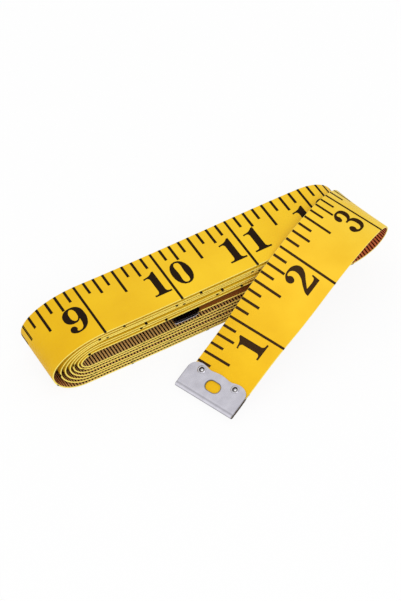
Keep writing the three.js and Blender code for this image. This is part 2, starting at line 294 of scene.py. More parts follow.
def make_woven_threads():
    """A plain weave in flat coordinates of millimetres: raised where one thread crosses over the other."""
    group, inside, outside = node_group("woven_threads", {"Place": None, "Threads per mm": 2.6}, ("Height",))
    parts = group.nodes.new("ShaderNodeSeparateXYZ")
    group.links.new(inside.outputs["Place"], parts.inputs[0])
    waves = []
    for axis in range(2):
        turns = math_node(group, "MULTIPLY", parts.outputs[axis], inside.outputs["Threads per mm"])
        waves.append(math_node(group, "SINE", math_node(group, "MULTIPLY", turns, math.pi)))
    crossing = math_node(group, "MULTIPLY", waves[0], waves[1])
    group.links.new(math_node(group, "ABSOLUTE", crossing), outside.inputs["Height"])
    return group


def new_material(name, **values):
    material = bpy.data.materials.new(name)
    material.use_nodes = True
    shader = material.node_tree.nodes["Principled BSDF"]
    for socket, value in values.items():
        shader.inputs[socket.replace("_", " ")].default_value = value
    return material, material.node_tree, shader


def place_group(tree, group, source, **values):
    node = tree.nodes.new("ShaderNodeGroup")
    node.node_tree = group
    tree.links.new(source, node.inputs["Place"])
    for socket, value in values.items():
        node.inputs[socket.replace("_", " ")].default_value = value
    return node


MARKS_RANGE = (0.3, 0.7)


def colour_between(tree, mask, dark, light):
    ramp = tree.nodes.new("ShaderNodeValToRGB")
    ramp.color_ramp.elements[0].position = MARKS_RANGE[0]
    ramp.color_ramp.elements[1].position = MARKS_RANGE[1]
    ramp.color_ramp.elements[0].color = (*dark, 1.0)
    ramp.color_ramp.elements[1].color = (*light, 1.0)
    tree.links.new(mask, ramp.inputs["Fac"])
    return ramp.outputs["Color"]


def value_between(tree, mask, low, high):
    spread = tree.nodes.new("ShaderNodeMapRange")
    spread.inputs["From Min"].default_value = MARKS_RANGE[0]
    spread.inputs["From Max"].default_value = MARKS_RANGE[1]
    spread.inputs["To Min"].default_value = low
    spread.inputs["To Max"].default_value = high
    tree.links.new(mask, spread.inputs["Value"])
    return spread.outputs["Result"]


def bump(tree, shader, height, strength, distance):
    node = tree.nodes.new("ShaderNodeBump")
    node.inputs["Strength"].default_value = strength
    node.inputs["Distance"].default_value = distance
    tree.links.new(height, node.inputs["Height"])
    tree.links.new(node.outputs["Normal"], shader.inputs["Normal"])


def flat_distance(tree, place, axis):
    """Distance from the middle of the flat piece, 0 along and 1 across."""
    parts = tree.nodes.new("ShaderNodeSeparateXYZ")
    tree.links.new(place, parts.inputs[0])
    return math_node(tree, "ABSOLUTE", parts.outputs[axis])


def tint_over(tree, distance, span, stops):
    """A colour that changes with a distance, from stops of (share of the span, colour)."""
    share = math_node(tree, "DIVIDE", distance, span)
    ramp = tree.nodes.new("ShaderNodeValToRGB")
    knots = ramp.color_ramp.elements
    for position, _ in stops[1:-1]:
        knots.new(position)
    for knot, (position, colour) in zip(knots, stops):
        knot.position = position
        knot.color = (*colour, 1.0)
    tree.links.new(share, ramp.inputs["Fac"])
    return ramp.outputs["Color"]


def tinted(tree, colour, tint):
    mix = tree.nodes.new("ShaderNodeMix")
    mix.data_type = "RGBA"
    mix.blend_type = "MULTIPLY"
    mix.inputs["Factor"].default_value = 1.0
    tree.links.new(colour, mix.inputs["A"])
    tree.links.new(tint, mix.inputs["B"])
    return mix.outputs["Result"]


def vinyl_finish(name, deep, bright, weave_depth, stops=None):
    """Satin vinyl over cloth: a mottled colour, uneven gloss from handling, the weave just showing through."""
    vinyl, tree, shader = new_material(name, Specular_IOR_Level=0.2)
    place = tree.nodes.new("ShaderNodeUVMap")
    place.uv_map = "flat"
    marks = place_group(tree, handling_marks, place.outputs["UV"], Broad=0.08, Fine=3.0)
    weave = place_group(tree, woven_threads, place.outputs["UV"])
    colour = colour_between(tree, marks.outputs["Mottle"], deep, bright)
    # The stops tint the colour along the strip; on the face and the back they paint sheen and shade.
    if stops:
        along = flat_distance(tree, place.outputs["UV"], 0)
        colour = tinted(tree, colour, tint_over(tree, along, TAPE_LENGTH, stops))
    tree.links.new(colour, shader.inputs["Base Color"])
    tree.links.new(value_between(tree, marks.outputs["Grain"], *VINYL_ROUGHNESS), shader.inputs["Roughness"])
    bump(tree, shader, weave.outputs["Height"], WEAVE_STRENGTH, weave_depth)
    return vinyl


VINYL_ROUGHNESS = (0.42, 0.56)
WEAVE_STRENGTH = 0.25
WEAVE_DEPTH = 0.00002
CUT_WEAVE_DEPTH = 0.00005
# Tints along the strip: (share of its length from the outer tip, tint). On the face they paint a pale sheen over
# the loop of the free end and deeper shade at the left bend.
FACE_PAINTED_SHEEN_AND_SHADE = (
    (0.0, (1.0, 0.95, 0.0)), (0.035, (1.04, 1.06, 1.7)), (0.05, (1.0, 1.09, 2.2)),
    (0.055, (1.0, 1.2, 6.0)), (0.065, (1.0, 1.15, 6.0)), (0.075, (1.0, 1.0, 1.4)),
    (0.143, (0.9, 0.87, 0.0)), (0.17, (1.01, 1.05, 0.9)), (1.0, (1.0, 1.0, 1.0)),
)
# On the back they paint reddish shade inside the loop and in the first gap at the left bend, and darker shade
# towards the inner end, in the coil's hollow.
BACK_PAINTED_SHADE = (
    (0.0, (1.1, 0.54, 0.6)), (0.08, (1.1, 0.54, 0.6)), (0.095, (1.0, 1.0, 1.0)), (0.13, (1.0, 1.0, 1.0)),
    (0.136, (0.9, 0.34, 0.25)), (0.15, (0.9, 0.34, 0.25)), (0.165, (0.96, 0.93, 0.8)),
    (0.96, (0.96, 0.93, 0.8)), (0.975, (0.55, 0.3, 0.2)), (0.99, (0.42, 0.22, 0.08)),
)
handling_marks = make_handling_marks()
woven_threads = make_woven_threads()
strip_finishes = (
    vinyl_finish("yellow_vinyl_face", (0.88, 0.51, 0.01), (0.95, 0.58, 0.016), WEAVE_DEPTH, FACE_PAINTED_SHEEN_AND_SHADE),
    vinyl_finish("salmon_vinyl_back", (0.72, 0.43, 0.15), (0.80, 0.5, 0.2), WEAVE_DEPTH, BACK_PAINTED_SHADE),
    vinyl_finish("cut_edge_of_cloth", (0.95, 0.73, 0.125), (1.0, 0.82, 0.17), CUT_WEAVE_DEPTH),
)

EDGE_ROUND = 0.1
ACROSS_STEPS = 4
FLAT_TOLERANCE = 0.004
# Where the strip flexes at each hinge: (distance on the coil's side, distance on the tip's side).
LEAD_BEND = (75.0, 65.0)
END_BEND = (39.0, 27.0)
FLEX_STEP = 0.3


def strip_ring():
    """The strip's section as (across, out, normal across, normal out): two faces and two eased edges."""
    half, rise = TAPE_WIDTH / 2, TAPE_THICKNESS / 2
    top = [(v, rise, 0.0, 1.0) for v in np.linspace(half - EDGE_ROUND, -half + EDGE_ROUND, ACROSS_STEPS + 1)]
    front = [(-half, rise - EDGE_ROUND, -1.0, 0.0), (-half, -rise + EDGE_ROUND, -1.0, 0.0)]
    return np.array(top + front + [(-v, -h, -a, -b) for v, h, a, b in top + front])


def strip_stations(start, end):
    """Distances along the strip, close together only where it bends, twists or flexes at a hinge."""
    dense = np.unique(np.concatenate([[start, end], route_s[(route_s > start) & (route_s < end)]]))
    edges = TAPE_WIDTH / 2 * along_route(route_across, dense)
    place = np.concatenate([along_route(route_middle, dense), edges], 1)
    kept = [0]
    for i in range(2, len(dense)):
        last = kept[-1]
        share = (dense[last + 1:i] - dense[last]) / (dense[i] - dense[last])
        chord = place[last] + share[:, None] * (place[i] - place[last])
        if len(share) and np.linalg.norm(chord - place[last + 1:i], axis=1).max() > FLAT_TOLERANCE:
            kept.append(i - 1)
    flexed = np.concatenate([np.arange(low, high, FLEX_STEP) for high, low in (LEAD_BEND, END_BEND)])
    flexed = flexed[(flexed > start) & (flexed < end)]
    return np.unique(np.concatenate([dense[kept + [len(dense) - 1]], flexed]))


FACE, BACK, EDGE = 0, 1, 2


def strip_mesh(start, end):
    """One stretch of the strip as (points, faces, kinds, normals, flat places), closed at both ends."""
    stations, ring = strip_stations(start, end), strip_ring()
    size = len(ring)
    s = np.repeat(stations[:, None], size, 1)
    v, h = (np.repeat(ring[None, :, k], len(stations), 0) for k in (0, 1))
    across, out = unit(along_route(route_across, stations)), unit(along_route(route_out, stations))
    normals = across[:, None] * ring[None, :, 2:3] + out[:, None] * ring[None, :, 3:4]
    corners = np.arange(size)
    first = np.arange(len(stations) - 1)[:, None] * size
    here, after = first + corners, first + (corners + 1) % size
    faces = np.stack([here, after, after + size, here + size], -1).reshape(-1, 4).tolist()
    ends = [corners[::-1].tolist(), (corners + size * (len(stations) - 1)).tolist()]
    round_ring = ([FACE] * ACROSS_STEPS + [EDGE] * 3 + [BACK] * ACROSS_STEPS + [EDGE] * 3) * len(first)
    points = strip_points(s, v, h).reshape(-1, 3)
    flat = np.stack([s.ravel(), v.ravel()], 1)
    return points, faces + ends, round_ring + [EDGE, EDGE], normals.reshape(-1, 3), flat


WELD_WITHIN = 0.0005


def flat_plate(outlines, thickness, cuts, curve_steps=2):
    """A plate cut from flat sheet as (points, faces), sliced across x so that it can bend.

    Outline points with a third number are corners, and the outline curves smoothly through the others.
    """
    curve = bpy.data.curves.new("outline", "CURVE")
    curve.dimensions = "2D"
    curve.fill_mode = "BOTH"
    curve.resolution_u = curve_steps
    curve.extrude = thickness / 2
    for outline in outlines:
        spline = curve.splines.new("BEZIER")
        spline.bezier_points.add(len(outline) - 1)
        spline.use_cyclic_u = True
        for knot, (x, y, *corner) in zip(spline.bezier_points, outline):
            knot.co = (x, y, 0.0)
            knot.handle_left_type = knot.handle_right_type = "VECTOR" if corner else "AUTO"
    holder = bpy.data.objects.new("outline", curve)
    bpy.context.scene.collection.objects.link(holder)
    mesh = bpy.data.meshes.new_from_object(holder.evaluated_get(bpy.context.evaluated_depsgraph_get()))
    shape = bmesh.new()
    shape.from_mesh(mesh)
    bmesh.ops.remove_doubles(shape, verts=shape.verts, dist=WELD_WITHIN)
    for x in cuts:
        everything = shape.verts[:] + shape.edges[:] + shape.faces[:]
        bmesh.ops.bisect_plane(shape, geom=everything, dist=WELD_WITHIN, plane_co=(x, 0, 0), plane_no=(1, 0, 0))
    bmesh.ops.recalc_face_normals(shape, faces=shape.faces)
    shape.verts.index_update()
    points = np.array([vertex.co for vertex in shape.verts])
    faces = [tuple(vertex.index for vertex in face.verts) for face in shape.faces]
    shape.free()
    bpy.data.meshes.remove(mesh)
    bpy.data.curves.remove(curve)
    return points, faces


def ring_outline(x, y, radius, steps=16):
    angles = np.linspace(0.0, 2 * math.pi, steps, endpoint=False)
    return [(x + radius * math.cos(a), y + radius * math.sin(a)) for a in angles]


def plate_kinds(flat, faces):
    """Which faces of a flat plate are its upper face, its back and its cut edge."""
    sides = [flat[list(face), 2] > 0 for face in faces]
    return [FACE if side.all() else EDGE if side.any() else BACK for side in sides]


def pierced_end(start, end, rivets_at, shift):
    """The stretch of the strip inside a metal tip, flat and pierced for the two rivets."""
    half = TAPE_WIDTH / 2
    mouth, nose = (end, start) if start < rivets_at < TAPE_LENGTH / 2 else (start, end)
    shoulder = mouth + MOUTH_DEPTH * math.copysign(1.0, nose - mouth)
    held = half - TIP_NARROWS
    front = [(mouth, -half, 0), (shoulder, -held, 0), (nose, -held, 0)]
    edge = front + [(x, -y, 0) for x, y, _ in front[::-1]]
    holes = [ring_outline(rivets_at, shift + side * RIVET_SIDE, STRIP_HOLE / 2) for side in (1, -1)]
    cuts = np.arange(start + PIERCED_STEP, end, PIERCED_STEP)
    flat, faces = flat_plate([edge] + holes, TAPE_THICKNESS, cuts)
    normals = np.sign(flat[:, 2:3]) * unit(along_route(route_out, flat[:, 0]))
    return strip_points(*flat.T), faces, plate_kinds(flat, faces), normals, flat[:, :2]


def join_meshes(parts):
    """Several meshes of the same make as one: points, faces, then columns with a row for each point or face."""
    faces, start = [], 0
    for points, part_faces, *_ in parts:
        faces += [[i + start for i in face] for face in part_faces]
        start += len(points)
    columns = [np.concatenate(column) for k, column in enumerate(zip(*parts)) if k != 1]
    return (columns[0], faces, *columns[1:])


SCALE_ZERO = 0.5
LEAD_SEAM = SCALE_ZERO + 3 * INCH
END_SEAM = SCALE_ZERO + 2 * INCH
TIP_INSET = 0.4
TIP_COVERS = 9.05
RIVET_AT = 7.9
RIVET_SIDE = 6.2
STRIP_HOLE = 2.0
OUTER_TIP_SHIFT = 0.6
MOUTH_DEPTH = 2.6
TIP_NARROWS = 0.3
PIERCED_STEP = 1.0

inner_edge = TAPE_LENGTH - TIP_INSET
coil_mesh = join_meshes([
    strip_mesh(LEAD_SEAM, TAPE_LENGTH - TIP_COVERS),
    pierced_end(TAPE_LENGTH - TIP_COVERS, inner_edge, TAPE_LENGTH - RIVET_AT, 0.0),
])
end_mesh = join_meshes([
    pierced_end(TIP_INSET, TIP_COVERS, RIVET_AT, OUTER_TIP_SHIFT),
    strip_mesh(TIP_COVERS, END_SEAM),
])
strip_coil = add_piece("strip_coil", strip_finishes, *coil_mesh)
strip_lead = add_piece("strip_lead", strip_finishes, *strip_mesh(END_SEAM, LEAD_SEAM))
strip_end = add_piece("strip_end", strip_finishes, *end_mesh)


def flex_with_strip(coil_piece, lead_piece, end_piece):
    """The coil piece goes onto the coil's body; the lead and the end keep their places, baked into their points.
    """
    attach(coil_piece, "coil")
    for piece, bodies, bend in (
        (lead_piece, ("coil", "lead"), LEAD_BEND),
        (end_piece, ("lead", "free_end"), END_BEND),
    ):
        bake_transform(piece)


flex_with_strip(strip_coil, strip_lead, strip_end)
for piece, node in ((strip_coil, "tape_coil"), (strip_lead, "tape_lead"), (strip_end, "tape_end")):
    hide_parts(node)

# The inch print.
# Black ink on the strip's outer face, lighter near the outer tip: a tick at each eighth of an inch from
# the back edge, a line right across at each inch, and the inches counted from that tip in bold figures with
# ball ends.
INK_DEPTH = 0.03
INK_PROUD = 0.02
DAB_DEPTH = 0.24
INCH_TICK_WIDTH = 0.83
INCH_LINE_WIDTH = 0.78
EIGHTHS = 8
INCH_TICKS = {1: 4.7, 2: 6.3, 4: 9.5}
INCH_FIGURE_HEIGHT = 9.35
INCH_FIGURE_FOOT = -5.7
SINGLE_FIGURE_RIGHT = -1.6
TENS_RIGHT = -0.9
UNITS_MIDDLE = 4.75
SCALE_START = 9.4
SCALE_STOPS_SHORT = 10.2
SCALE_END = TAPE_LENGTH - SCALE_STOPS_SHORT

FIGURE_OUTLINES = (
    [[(.40, 1), (.015, .5), (.40, 0), (.785, .5)], [(.40, .935), (.51, .5), (.40, .065), (.29, .5)]],
    [[(0, 0, 0), (.60, 0, 0), (.60, .065, 0), (.475, .085), (.43, .16, 0), (.43, 1, 0), (.37, 1, 0),
      (.24, .90), (0, .845, 0), (0, .785, 0), (.13, .80), (.185, .74, 0), (.185, .16, 0), (.14, .085),
      (0, .065, 0)]],
    [[(.005, .74), (.10, .925), (.36, 1), (.64, .92), (.735, .74), (.65, .54), (.45, .37),
      (.20, .155, 0), (.60, .165), (.65, .20), (.68, .28, 0), (.735, .28, 0), (.705, 0, 0), (.01, 0, 0),
      (.03, .10), (.19, .31), (.40, .53), (.475, .73), (.43, .88), (.32, .935), (.205, .90),
      (.255, .82), (.265, .73), (.135, .62)]],
    [[(.015, .77), (.12, .94), (.36, 1), (.62, .93), (.70, .76), (.62, .60), (.50, .535, 0), (.67, .45),
      (.75, .27), (.64, .07), (.36, 0), (.12, .06), (0, .22), (.13, .345), (.265, .22), (.235, .12),
      (.34, .07), (.46, .12), (.505, .27), (.46, .43), (.36, .485), (.22, .49, 0), (.22, .555, 0),
      (.35, .565), (.435, .63), (.465, .76), (.43, .88), (.34, .93), (.245, .89), (.265, .78),
      (.14, .65)]],
    [[(.47, 1, 0), (.66, 1, 0), (.66, .335, 0), (.80, .335, 0), (.80, .25, 0), (.66, .25, 0),
      (.66, .10, 0), (.69, .07), (.79, .06, 0), (.79, 0, 0), (.31, 0, 0), (.31, .06, 0), (.40, .07),
      (.43, .10, 0), (.43, .25, 0), (0, .25, 0), (0, .32, 0)],
     [(.43, .335, 0), (.43, .79, 0), (.095, .335, 0)]],
    [[(.09, 1, 0), (.36, .955), (.64, 1, 0), (.60, .84), (.36, .79), (.165, .835, 0), (.155, .58, 0),
      (.38, .645), (.63, .56), (.72, .33), (.62, .09), (.34, 0), (.10, .06), (0, .21), (.13, .335),
      (.26, .21), (.22, .12), (.33, .065), (.45, .14), (.485, .33), (.44, .51), (.33, .575), (.21, .55),
      (.145, .48, 0), (.09, .48, 0)]],
    [],
    [[(.02, 1, 0), (.16, .965), (.46, .995), (.73, .965, 0), (.72, .90, 0), (.54, .58), (.47, .30),
      (.465, 0, 0), (.20, 0, 0), (.235, .26), (.37, .53), (.585, .785, 0), (.40, .80), (.22, .815),
      (.10, .70, 0), (.03, .70, 0)]],
    [[(.39, 1), (.16, .93), (.075, .76), (.13, .62), (.24, .535), (.07, .43), (.01, .26), (.12, .06),
      (.39, 0), (.66, .07), (.77, .27), (.70, .44), (.56, .555), (.66, .63), (.71, .77), (.62, .94)],
     [(.39, .935), (.50, .88), (.52, .77), (.47, .65), (.41, .60), (.32, .67), (.275, .78), (.30, .89)],
     [(.38, .065), (.27, .12), (.225, .26), (.26, .40), (.34, .475), (.47, .40), (.54, .25), (.51, .12)]],
    [[(.37, 1), (.10, .91), (.01, .69), (.10, .46), (.33, .38), (.45, .41), (.515, .48, 0), (.495, .25),
      (.43, .11), (.32, .065), (.225, .10), (.265, .19), (.14, .315), (.01, .19), (.10, .05), (.33, 0),
      (.57, .09), (.72, .32), (.76, .58), (.67, .89)],
     [(.38, .935), (.475, .87), (.51, .69), (.475, .52), (.38, .45), (.285, .52), (.25, .69),
      (.285, .86)]],
)
FIGURE_WIDTHS = (.66, .585, .67, .65, .71, .65, .695, .65, .69, .695)
NINE_DRAWN_WIDTH = .77


def figure_plates(height, slice_width, curve_steps):
    """The ten figures as flat plates of ink with their left feet at the origin. The six is a turned nine."""
    plates = []
    turned_nine = [[(NINE_DRAWN_WIDTH - x, 1 - y, *c) for x, y, *c in o] for o in FIGURE_OUTLINES[9]]
    for figure, width in enumerate(FIGURE_WIDTHS):
        outlines = FIGURE_OUTLINES[figure] or turned_nine
        xs = [knot[0] for outline in outlines for knot in outline]
        stretch = width / (max(xs) - min(xs))
        drawn = [[((x - min(xs)) * stretch * height, y * height, *c) for x, y, *c in o] for o in outlines]
        cuts = np.arange(slice_width, width * height, slice_width)
        plates.append(flat_plate(drawn, INK_DEPTH, cuts, curve_steps))
    return plates


TICK_FACES = [(0, 3, 2, 1), (4, 5, 6, 7), (0, 1, 5, 4), (1, 2, 6, 5), (2, 3, 7, 6), (3, 0, 4, 7)]


def ink_box(s, width, ends, depths):
    sides = (s - width / 2, s + width / 2)
    corners = [(sides[i], ends[j]) for i, j in ((0, 0), (1, 0), (1, 1), (0, 1))]
    return np.array([(x, y, z) for z in depths for x, y in corners]), TICK_FACES


def tick_plate(s, width, length):
    """One tick from the strip's edge inwards."""
    ends = (TAPE_WIDTH / 2 - length, TAPE_WIDTH / 2 - EDGE_ROUND)
    return ink_box(s, width, ends, (-INK_DEPTH / 2, INK_DEPTH / 2))


def edge_dab(s, width):
    """The end of an inch line, where its ink runs over the strip's front edge."""
    ends = (-TAPE_WIDTH / 2 - INK_PROUD, -TAPE_WIDTH / 2 + 2 * EDGE_ROUND)
    return ink_box(s, width, ends, (-DAB_DEPTH, INK_DEPTH / 2))


def moved(plate, x, y):
    return plate[0] + np.array([x, y, 0.0]), plate[1]


SEAM_TOLERANCE = 0.01


def lay_print(name, marks, face, ink):
    """Marks as (distance, plate) pressed onto the strip's three stretches.

    face is 1 for the inch face and -1 for the other. A mark on a seam goes to the stretch nearer the coil.
    """
    pieces = []
    for stretch, low, high in (
        ("coil", LEAD_SEAM, TAPE_LENGTH),
        ("lead", END_SEAM, LEAD_SEAM),
        ("end", 0.0, END_SEAM),
    ):
        flat, faces = join_meshes([plate for s, plate in marks if low <= s + SEAM_TOLERANCE < high])
        height = TAPE_THICKNESS / 2 + INK_PROUD - INK_DEPTH / 2 + flat[:, 2]
        points = strip_points(flat[:, 0], face * flat[:, 1], face * height)
        normals = face * np.sign(flat[:, 2:3]) * unit(along_route(route_out, flat[:, 0]))
        pieces.append(add_piece(f"{name}_{stretch}", [ink], points, faces, None, normals, flat[:, :2]))
    flex_with_strip(*pieces)
    return pieces


INK_DARK = (0.012, 0.0072, 0.0042)
INK_WORN = (0.028, 0.016, 0.0085)
INK_ROUGHNESS = (0.5, 0.65)
# The ink is made lighter towards the outer tip.
INK_LIGHTER_NEAR_TIP = (
    (0.0, (2.6, 2.2, 1.7)), (0.035, (2.4, 2.1, 1.6)), (0.05, (1.6, 1.2, 0.6)),
    (0.1, (1.0, 1.0, 1.0)), (1.0, (1.0, 1.0, 1.0)),
)


def print_finish(name, stops):
    """Matt black ink, worn in a fine grain and tinted along the strip by its stops, that follows the weave under
    it.
    """
    ink, tree, shader = new_material(name, Specular_IOR_Level=0.01)
    place = tree.nodes.new("ShaderNodeUVMap")
    place.uv_map = "flat"
    marks = place_group(tree, handling_marks, place.outputs["UV"], Broad=0.3, Fine=4.0)
    weave = place_group(tree, woven_threads, place.outputs["UV"])
    black = colour_between(tree, marks.outputs["Grain"], INK_DARK, INK_WORN)
    along = flat_distance(tree, place.outputs["UV"], 0)
    # The stops tint the ink along the strip: lighter near the outer tip, and in the centimetre print painted red
    # over the back's painted shade.
    ink_tint_along = tint_over(tree, along, TAPE_LENGTH, stops)
    tree.links.new(tinted(tree, black, ink_tint_along), shader.inputs["Base Color"])
    tree.links.new(value_between(tree, marks.outputs["Mottle"], *INK_ROUGHNESS), shader.inputs["Roughness"])
    bump(tree, shader, weave.outputs["Height"], WEAVE_STRENGTH, WEAVE_DEPTH)
    return ink


inch_figures = figure_plates(INCH_FIGURE_HEIGHT, slice_width=0.5, curve_steps=5)
inch_marks = []
for eighth in range(1, int(TAPE_LENGTH / INCH * EIGHTHS)):
    s = SCALE_ZERO + eighth * INCH / EIGHTHS
    if not SCALE_START < s < SCALE_END:
        continue
    if eighth % EIGHTHS:
        inch_marks.append((s, tick_plate(s, INCH_TICK_WIDTH, INCH_TICKS[math.gcd(eighth, 4)])))
        continue
    inch_marks.append((s, tick_plate(s, INCH_LINE_WIDTH, TAPE_WIDTH - EDGE_ROUND)))
    inch_marks.append((s, edge_dab(s, INCH_LINE_WIDTH)))
    tens, units = divmod(eighth // EIGHTHS, 10)
    units_width = FIGURE_WIDTHS[units] * INCH_FIGURE_HEIGHT
    units_at = UNITS_MIDDLE - units_width / 2 if tens else SINGLE_FIGURE_RIGHT - units_width
    placed = [(units, units_at)]
    if tens:
        placed.append((tens, TENS_RIGHT - FIGURE_WIDTHS[tens] * INCH_FIGURE_HEIGHT))
    for figure, x in placed:
        inch_marks.append((s + x, moved(inch_figures[figure], s + x, INCH_FIGURE_FOOT)))
inch_print = lay_print("inch_print", inch_marks, 1, print_finish("black_print", INK_LIGHTER_NEAR_TIP))

# The centimetre print.
# The same ink on the strip's inner face, counted from the outer tip too: a tick at each millimetre from
# the front edge, longer at each fifth and tenth, and small figures at each centimetre. It is tinted brown,
# and painted red where the back has painted shade in the loop and at the left bend.
FIRST_MILLIMETRE = 10
LAST_MILLIMETRE = 1495
MM_TICK_WIDTH = 0.45
MM_TICKS = {1: 5.5, 2: 5.5, 5: 7.0, 10: 9.0}
CM_FIGURE_HEIGHT = 4.6
CM_FIGURE_FOOT = -5.0
CM_FIGURE_GAP = 0.25
# A brown tint for the ink, painted red over the back's painted shade in the loop and at the left bend.
INK_BROWN_AND_PAINTED_SHADE = (
    (0.0, (6.0, 1.4, 0.4)), (0.08, (6.0, 1.4, 0.4)), (0.095, (1.0, 0.8, 0.4)), (0.13, (1.0, 0.8, 0.4)),
    (0.136, (7.0, 1.2, 0.4)), (0.15, (7.0, 1.2, 0.4)), (0.165, (1.0, 0.8, 0.4)), (1.0, (1.0, 0.8, 0.4)),
)

cm_figures = figure_plates(CM_FIGURE_HEIGHT, slice_width=0.6, curve_steps=2)
cm_marks = []
for millimetre in range(FIRST_MILLIMETRE, LAST_MILLIMETRE + 1):
    s = SCALE_ZERO + millimetre
    cm_marks.append((s, tick_plate(s, MM_TICK_WIDTH, MM_TICKS[math.gcd(millimetre, 10)])))
    if millimetre % 10:
        continue
    number = [int(figure) for figure in str(millimetre // 10)]
    widths = [FIGURE_WIDTHS[figure] * CM_FIGURE_HEIGHT for figure in number]
    x = s - (sum(widths) + CM_FIGURE_GAP * (len(number) - 1)) / 2
    for figure, width in zip(number, widths):
        if x > SCALE_START:
            cm_marks.append((s, moved(cm_figures[figure], x, CM_FIGURE_FOOT)))
        x += width + CM_FIGURE_GAP
centimetre_print = lay_print("centimetre_print", cm_marks, -1, print_finish("brown_print_with_painted_shade", INK_BROWN_AND_PAINTED_SHADE))

# The metal tips.
# Each end of the strip is bound in one piece of bright tin plate, folded over the end and pressed flat, with
# a lobed inner edge, a crease along the fold and a pierced slot. The inner tip is painted near black for the
# shade it lies in, and the cut edge of its lower half is painted pale as a highlight.
TIP_LENGTH = 10.0
TIP_HALF_WIDTH = 10.5
TIP_SHEET = 0.3
FOLD_RADIUS = 0.475
CREASE = (1.1, 1.3, 1.45, 1.7)
CREASE_DEPTH = 0.08
CREASE_MARGIN = 0.2
LIP_DEPTH = 0.06
LIP_FROM = 8.6
LIP_SPAN = 1.4
NOSE_EASE = 0.15
LOBE_EDGE = (
    (6.2, 10.5), (7.4, 10.4), (8.8, 9.5), (9.65, 7.4), (9.5, 5.6), (9.08, 3.7), (9.32, 1.8), (9.5, 0.0),
)
SLOT_AT = 5.2
SLOT_HALF_WIDTH = 1.65
SLOT_HALF_LENGTH = 2.5
SLOT_END_STEPS = 10
FOLD_CUTS = 25
CREASE_CUTS = 19
FACE_CUTS = 11
FACE_CUTS_FROM = 2.6
FACE_CUTS_STOP_SHORT = 0.3
OUTER_TIP_FRAME = (
    end_middle[0] + OUTER_TIP_SHIFT * end_across[0],
    np.cross(end_across[0], end_out[0]), end_across[0], end_out[0],
)
INNER_TIP_X = -13.299512
INNER_TIP_FRAME = (
    (INNER_TIP_X, 0.0, INNER_RUN_HEIGHT),
    (1.0, 0.0, 0.0), (0.0, 1.0, 0.0), (0.0, 0.0, 1.0),
)
fold_half = FOLD_RADIUS * math.pi / 2
fold_at = FOLD_RADIUS + TIP_SHEET / 2


def unrolled(x):
    """Where a place x from the folded tip's nose lies on the flat blank, counted from the fold's middle."""
    return x - fold_at + fold_half


def tip_blank():
    """The flat blank: x runs over the fold from the back face to the front face, y along the fold."""
    lobes = [(unrolled(x), y) for x, y in LOBE_EDGE]
    nose = [(fold_half, TIP_HALF_WIDTH, 0), (0.0, TIP_HALF_WIDTH - NOSE_EASE, 0), (-fold_half, TIP_HALF_WIDTH, 0)]
    front = lobes + [(x, -y) for x, y in lobes[-2::-1]]
    back = [(-x, y) for x, y in front[::-1]]
    other_nose = [(x, -y, *c) for x, y, *c in nose[::-1]]
    outline = other_nose + [(x, -y) for x, y in front] + nose + [(x, -y) for x, y in back]
    straight = SLOT_HALF_LENGTH - SLOT_HALF_WIDTH
    holes = []
    for side in (1, -1):
        angles = np.linspace(0.0, math.pi, SLOT_END_STEPS + 1)
        slot_end = [(SLOT_HALF_WIDTH * math.cos(a), straight + SLOT_HALF_WIDTH * math.sin(a)) for a in angles]
        slot = slot_end + [(-x, -y) for x, y in slot_end]
        holes.append([(side * (unrolled(SLOT_AT) + x), y) for x, y in slot])
        rivet_x = side * unrolled(RIVET_AT)
        holes += [ring_outline(rivet_x, y, STRIP_HOLE / 2) for y in (RIVET_SIDE, -RIVET_SIDE)]
    return [outline] + holes


def in_frame(points, frame_axes):
    origin, *axes = (np.array(row) for row in frame_axes)
    return MM * (origin + points @ np.array(axes))


def folded(flat):
    """The flat blank bent round the fold, its crease and lip pressed in. Gives points and outward directions."""
    t, y, h = flat.T
    side = np.where(t >= 0, 1.0, -1.0)
    past = np.abs(t) - fold_half
    turn = np.clip(np.abs(t) / FOLD_RADIUS, 0.0, math.pi / 2)
    x = fold_at + np.maximum(past, 0.0)
    rise, end_rise, fall, end_fall = CREASE
    crease = smooth_step((x - rise) / (end_rise - rise)) * (1.0 - smooth_step((x - fall) / (end_fall - fall)))
    radius = FOLD_RADIUS + h
    flat_part = past > 0
    depth = CREASE_DEPTH * crease + LIP_DEPTH * smooth_step((x - LIP_FROM) / LIP_SPAN)
    points = np.stack([
        np.where(flat_part, x, fold_at - radius * np.cos(turn)),
        y,
        side * np.where(flat_part, radius - depth, radius * np.sin(turn)),
    ], 1)
    normals = np.stack([
        -np.cos(turn) * ~flat_part,
        np.zeros_like(t),
        side * np.where(flat_part, 1.0, np.sin(turn)),
    ], 1)
    return points, normals * np.sign(h)[:, None]


